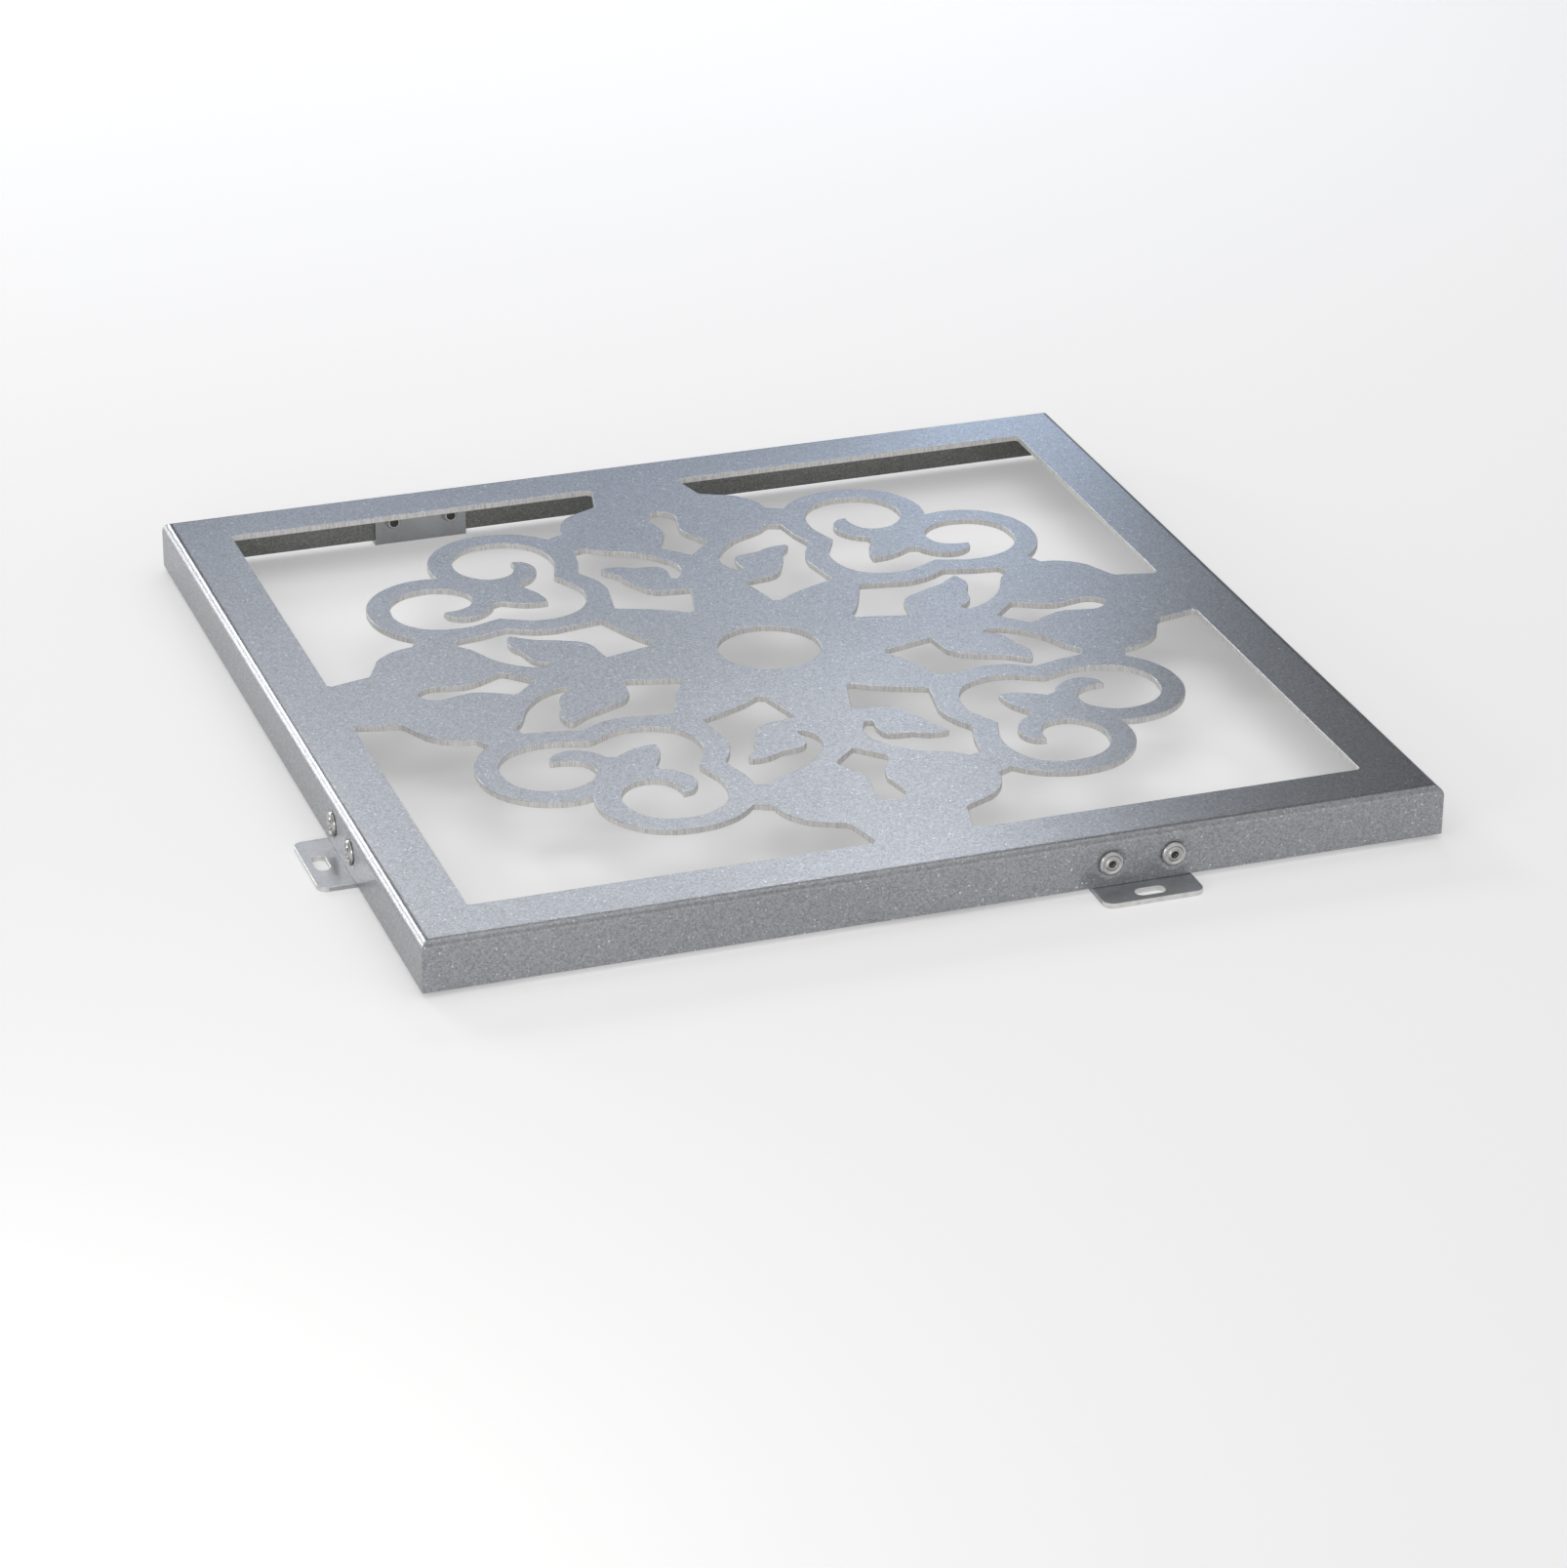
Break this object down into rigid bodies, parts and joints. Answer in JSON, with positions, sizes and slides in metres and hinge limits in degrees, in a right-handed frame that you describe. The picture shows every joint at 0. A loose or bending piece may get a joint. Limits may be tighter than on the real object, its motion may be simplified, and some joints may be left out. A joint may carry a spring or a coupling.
{
  "type": "perforated metal screen panel",
  "caption": "Square folded sheet-metal screen panel pierced with a scroll and leaf rosette between corner windows, with riveted slotted fixing ears on its flanges.",
  "frame": {"origin": "middle of the panel, on the plane of the undersides of the ears", "axes": "+Z out of the decorated face, +X along the front flange, +Y towards the back flange"},
  "size_m": [0.428, 0.428, 0.022],
  "materials": {
    "coated_sheet": "silver metallic coat with fine sparkle",
    "ear_sheet": "plain mill sheet",
    "rivet": "bright"
  },
  "bodies": {
    "root": {"face_panel": "coated_sheet", "ear_front": "ear_sheet", "rivet_front_a": "rivet", "rivet_front_b": "rivet", "ear_right": "ear_sheet", "rivet_right_a": "rivet", "rivet_right_b": "rivet", "ear_back": "ear_sheet", "rivet_back_a": "rivet", "rivet_back_b": "rivet", "ear_left": "ear_sheet", "rivet_left_a": "rivet", "rivet_left_b": "rivet"}
  },
  "joints": []
}
